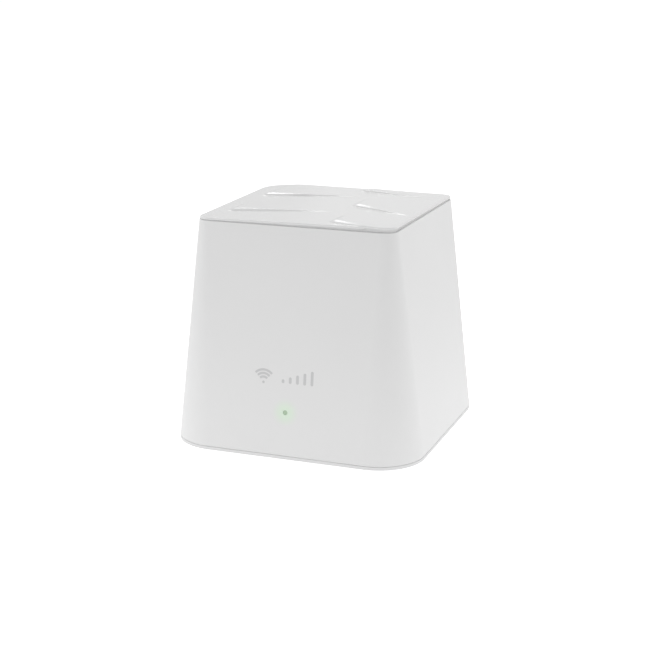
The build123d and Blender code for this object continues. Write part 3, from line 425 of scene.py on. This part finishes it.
SIDE_STEPS, CORNER_STEPS = 176, 12
EDGE_STEPS, UNDER_STEPS = 5, 3
TOP_STEP = 0.3  # distance between the rings over the top


def smooth_step(start, end, value):
    share = min(1.0, max(0.0, (value - start) / (end - start)))
    return share * share * (3 - 2 * share)


def ridge_height(across, back, ridge):
    """A low dune: steep face to the front, shoulder, long slope behind, blunt start and faded end."""
    start, end, place, slope, shoulder_height, height, fall = ridge
    behind = (back - place - slope * (across - start)) * TOP_SIDE
    if behind <= -RIDGE_SHOULDER - RIDGE_FACE or behind >= fall or across <= start - RIDGE_BLUNT:
        return 0.0
    rise = smooth_step(start - RIDGE_BLUNT, start + RIDGE_BLUNT, across)
    along = rise * (1 - smooth_step(start, end, across))
    fade_start, fade_end = SHOULDER_FADE
    shoulder = shoulder_height * (1 - smooth_step(start + fade_start, start + fade_end, across))
    face_length = RIDGE_FACE * max(FADED_FACE, along)
    up_face = 1 - (1 - min(1.0, max(0.0, (behind + RIDGE_SHOULDER + face_length) / face_length))) ** 2
    over_shoulder = min(1.0, max(0.0, behind / RIDGE_SHOULDER + 1))
    long_slope = (1 - max(0.0, behind) / fall) ** SLOPE_CURVE
    return along * long_slope * ((height - shoulder) * up_face + shoulder * over_shoulder)


def cover_height(x, y):
    """Height of the cover's top surface above the desk."""
    across, back = x / TOP_SIDE + 0.5, y / TOP_SIDE + 0.5
    front = CORNER_LIFT[0] * (1 - across) + CORNER_LIFT[1] * across
    rear = CORNER_LIFT[2] * (1 - across) + CORNER_LIFT[3] * across
    to_corner = math.hypot(x + TOP_SIDE / 2, y - TOP_SIDE / 2)
    dip = REAR_LEFT_DIP * (1 - smooth_step(0, DIP_REACH, to_corner))
    plane = front * (1 - back) + rear * back - dip
    return BASE_Z + TAPER_HEIGHT + plane + sum(ridge_height(across, back, ridge) for ridge in RIDGES)


def lip_thickness(x):
    across = x / TOP_SIDE + 0.5
    return LIP_LEFT * (1 - across) + LIP_RIGHT * across


def make_cover():
    """The cover's skin, from the core through the neck, round the lip and in over the top."""
    edge_z = BASE_Z + TAPER_HEIGHT
    half, radius = half_side(edge_z), corner_radius(edge_z)
    smallest_radius = 0.02

    def ring(inset, drop=0.0, level=None, lip=0.0):
        outline = rounded_square(half - inset, max(radius - inset, smallest_radius), SIDE_STEPS, CORNER_STEPS)
        if level is not None:
            return [(x, y, level) for x, y in outline]
        return [(x, y, cover_height(x, y) - drop - lip * lip_thickness(x)) for x, y in outline]

    rings = [
        ring(CORE_INSET, level=CORE_Z),
        ring(CORE_INSET, level=SKIRT_Z),
        ring(NECK_INSET, level=SKIRT_Z),
    ]
    for step in range(UNDER_STEPS + 1):
        bend = math.pi / 2 * step / UNDER_STEPS
        inset, rise = UNDER_ROUND * (1 - math.sin(bend)), UNDER_ROUND * (1 - math.cos(bend))
        rings.append(ring(inset, drop=-rise, lip=1.0))
    for step in range(EDGE_STEPS + 1):
        bend = math.pi / 2 * step / EDGE_STEPS
        rings.append(ring(EDGE_ROUND * (1 - math.cos(bend)), drop=EDGE_ROUND * (1 - math.sin(bend))))
    inset = EDGE_ROUND
    while inset + TOP_STEP < half:
        inset += TOP_STEP
        rings.append(ring(inset))
    cover = piece_from_rings("cover_skin", rings, cover_plastic)
    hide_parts("top_cover")


make_cover()


def make_seam_tongue():
    """The tongue of the base that closes the seam above the base's rim, just behind the surface."""
    low_z, high_z = 2.105, 2.215
    outer_inset, inner_inset = 0.22, 1.6
    side_steps, corner_steps = 24, 16
    rings = []
    for inset, z in (
        (outer_inset, low_z), (outer_inset, high_z), (inner_inset, high_z), (inner_inset, low_z),
    ):
        outline = rounded_square(half_side(z) - inset, corner_radius(z) - inset, side_steps, corner_steps)
        rings.append([(x, y, z) for x, y in outline])
    piece_from_rings("seam_tongue", rings + rings[:1], base_plastic, False, False)


make_seam_tongue()


# ---------------------------------------------------------------- printed signs
INK = 0.012  # how far the print stands off the face
ARC_STEPS, BAR_STEPS = 32, 36


class Print:
    """Flat printed shapes on the sloping front or rear face. All in millimetres."""

    def __init__(self, side):
        self.side = side  # -1 prints on the front, 1 on the rear
        self.build = bmesh.new()

    def vertex(self, x, z):
        return self.build.verts.new(Vector((x, self.side * (half_side(z) + INK), z)) * MM)

    def outline(self, points):
        self.build.faces.new([self.vertex(x, z) for x, z in points])

    def arc(self, x, z, radius, width, start=0.0, end=360.0, squeeze=1.0):
        """A curved stroke round a centre. squeeze narrows it across."""
        pairs = []
        for step in range(ARC_STEPS + 1):
            bend = math.radians(start + (end - start) * step / ARC_STEPS)
            reach = squeeze * math.cos(bend), math.sin(bend)
            pairs.append([
                self.vertex(x + (radius + grow) * reach[0], z + (radius + grow) * reach[1])
                for grow in (-width / 2, width / 2)
            ])
        for near, far in zip(pairs, pairs[1:]):
            self.build.faces.new((near[0], near[1], far[1], far[0]))

    def bar(self, x, z, width, height):
        """An upright bar with round ends, or a lying one if it is wider than high."""
        rounding = min(width, height) / 2
        points = []
        for step in range(BAR_STEPS):
            bend = 2 * math.pi * (step + 0.5) / BAR_STEPS
            points.append((
                x + math.copysign(width / 2 - rounding, math.cos(bend)) + rounding * math.cos(bend),
                z + math.copysign(height / 2 - rounding, math.sin(bend)) + rounding * math.sin(bend),
            ))
        self.outline(points)

    def finish(self, name, material):
        """Turns every shape to face outward and makes one piece of them."""
        bmesh.ops.remove_doubles(self.build, verts=self.build.verts, dist=0.0000005)
        bmesh.ops.recalc_face_normals(self.build, faces=self.build.faces)
        outward = Vector((0, self.side, 0))
        facing_in = [face for face in self.build.faces if face.normal.dot(outward) < 0]
        bmesh.ops.reverse_faces(self.build, faces=facing_in)
        mesh = bpy.data.meshes.new(name)
        self.build.to_mesh(mesh)
        self.build.free()
        mesh.materials.append(material)
        piece = bpy.data.objects.new(name, mesh)
        bpy.context.scene.collection.objects.link(piece)
        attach(piece, "case")


def print_front_mark(ink):
    """A generic sign for a wireless signal: a fan of arcs and a row of rising bars."""
    middle_z = 28.9
    sign = Print(-1)
    fan_x, fan_z = -8.3, middle_z - 2.1
    dot, stroke = 0.9, 0.8
    for radius in (1.83, 3.03, 4.23):
        sign.arc(fan_x, fan_z, radius, stroke, 45, 135)
    sign.bar(fan_x, fan_z, dot, dot)
    first_x, foot_z = -1.2, middle_z - 1.8
    spacing, bar_width = 2.6, 1.0
    shortest, growth = 1.3, 0.9
    for index in range(5):
        height = shortest + growth * index
        sign.bar(first_x + spacing * index, foot_z + height / 2, bar_width, height)
    sign.finish("front_mark", ink)


def print_port_signs(ink):
    """Generic signs over the ports: a globe, a small network, a power sign and a turning arrow."""
    z = 25.6
    signs = Print(1)
    jack, wan, lan, reset = 22.6, 8.4, -8.4, -22.6
    signs.arc(jack, z, 1.05, 0.26, 125, 415)
    signs.bar(jack, z + 0.75, 0.26, 1.1)
    signs.arc(wan, z, 1.15, 0.2)
    signs.arc(wan, z, 1.15, 0.2, squeeze=0.45)
    signs.bar(wan, z, 2.2, 0.2)
    for x, row in ((lan, 0.8), (lan - 0.9, -0.8), (lan + 0.9, -0.8)):
        signs.bar(x, z + row, 0.85, 0.75)
    signs.bar(lan, z, 2.0, 0.18)
    signs.bar(lan, z + 0.25, 0.18, 0.6)
    signs.bar(lan - 0.9, z - 0.25, 0.18, 0.6)
    signs.bar(lan + 0.9, z - 0.25, 0.18, 0.6)
    signs.arc(reset, z, 1.0, 0.24, 60, 350)
    signs.outline([(reset + 0.45, z - 0.1), (reset + 1.55, z - 0.1), (reset + 1.0, z + 0.75)])
    signs.finish("port_signs", ink)


mark_ink = plastic("mark_ink", (0.61, 0.61, 0.615), roughness=0.5)
print_front_mark(mark_ink)
print_port_signs(mark_ink)


# ---------------------------------------------------------------- stage
FLOOR_RADIUS = 4.0  # metres
GLOW_START, GLOW_END = 0.08, 0.30  # metres from the middle: where the floor's glow starts to fade and ends
ROOM_LIGHT = 0.715
FLOOR_GLOW = 0.36  # light that the floor round the router gives off, for every ray
FLOOR_LIFT = 0.40  # more of it, for what the camera sees of the floor only
# Each light: name, place, the point it is aimed at, side of the square in metres, power in watts.
LIGHTS = [
    ("left_box", (-0.55, -0.35, 0.25), (0, 0, 0.04), 0.4, 0.28),
    ("left_near_box", (-0.30, -0.12, 0.10), (0, 0, 0.03), 0.22, 0.056),
    ("right_low_box", (0.5, -0.1, 0.10), (0, 0, 0.02), 0.3, 0.13),
    ("rear_left_box", (-0.8, 0.45, 0.45), (0, 0, 0.08), 0.5, 0.76),
    ("rear_right_box", (0.6, 0.7, 0.3), (0, 0, 0.08), 0.4, 0.87),
    ("rear_box", (0.0, 0.9, 0.5), (0, 0, 0.08), 0.8, 0.40),
    ("top_box", (0.0, 0.1, 0.9), (0, 0, 0.04), 0.7, 0.38),
    ("crest_box", (-0.42, 0.82, 0.70), (0, 0, 0.08), 0.2, 0.84),
]


def area_light(name, place, aim, size, power):
    data = bpy.data.lights.new(name, "AREA")
    data.shape = "SQUARE"
    data.size = size
    data.energy = power
    light = bpy.data.objects.new(name, data)
    bpy.context.scene.collection.objects.link(light)
    light.location = place
    light.rotation_mode = "QUATERNION"
    light.rotation_quaternion = (Vector(aim) - Vector(place)).to_track_quat("-Z", "Y")
    light.visible_camera = False


def make_floor():
    """A white floor that glows a little round the router, and more where the camera sees it."""
    mesh = bpy.data.meshes.new("floor")
    build = bmesh.new()
    bmesh.ops.create_circle(build, cap_ends=True, segments=96, radius=FLOOR_RADIUS)
    build.to_mesh(mesh)
    build.free()
    floor = bpy.data.objects.new("floor", mesh)
    bpy.context.scene.collection.objects.link(floor)
    material, tree, shader = new_material("floor")
    shader.inputs["Base Color"].default_value = (0.9, 0.9, 0.9, 1)
    shader.inputs["Roughness"].default_value = 1.0
    shader.inputs["Specular IOR Level"].default_value = 0.0
    shader.inputs["Emission Color"].default_value = (1, 1, 1, 1)
    distance = tree.nodes.new("ShaderNodeVectorMath")
    distance.operation = "LENGTH"
    tree.links.new(object_coords(tree), distance.inputs[0])
    glow = ramp(tree, distance.outputs["Value"], GLOW_START, GLOW_END, FLOOR_GLOW, 0.0)
    seen = tree.nodes.new("ShaderNodeLightPath")
    lift = tree.nodes.new("ShaderNodeMath")
    lift.operation = "MULTIPLY_ADD"
    lift.inputs[1].default_value = FLOOR_LIFT
    tree.links.new(seen.outputs["Is Camera Ray"], lift.inputs[0])
    tree.links.new(glow, lift.inputs[2])
    tree.links.new(lift.outputs["Value"], shader.inputs["Emission Strength"])
    mesh.materials.append(material)


def make_room():
    """An even room light, in front of a plain white backdrop that only the camera sees."""
    world = bpy.data.worlds.new("studio")
    bpy.context.scene.world = world
    world.use_nodes = True
    tree = world.node_tree
    output = tree.nodes["World Output"]
    room = tree.nodes["Background"]
    room.inputs["Color"].default_value = (1, 1, 1, 1)
    room.inputs["Strength"].default_value = ROOM_LIGHT
    backdrop = tree.nodes.new("ShaderNodeBackground")
    backdrop.inputs["Color"].default_value = (1, 1, 1, 1)
    backdrop.inputs["Strength"].default_value = 1.0
    seen = tree.nodes.new("ShaderNodeLightPath")
    choose = tree.nodes.new("ShaderNodeMixShader")
    tree.links.new(seen.outputs["Is Camera Ray"], choose.inputs["Fac"])
    tree.links.new(room.outputs["Background"], choose.inputs[1])
    tree.links.new(backdrop.outputs["Background"], choose.inputs[2])
    tree.links.new(choose.outputs["Shader"], output.inputs["Surface"])
    bpy.context.scene.view_settings.view_transform = "Standard"


make_floor()
make_room()
for name, place, aim, size, power in LIGHTS:
    area_light(name, place, aim, size, power)
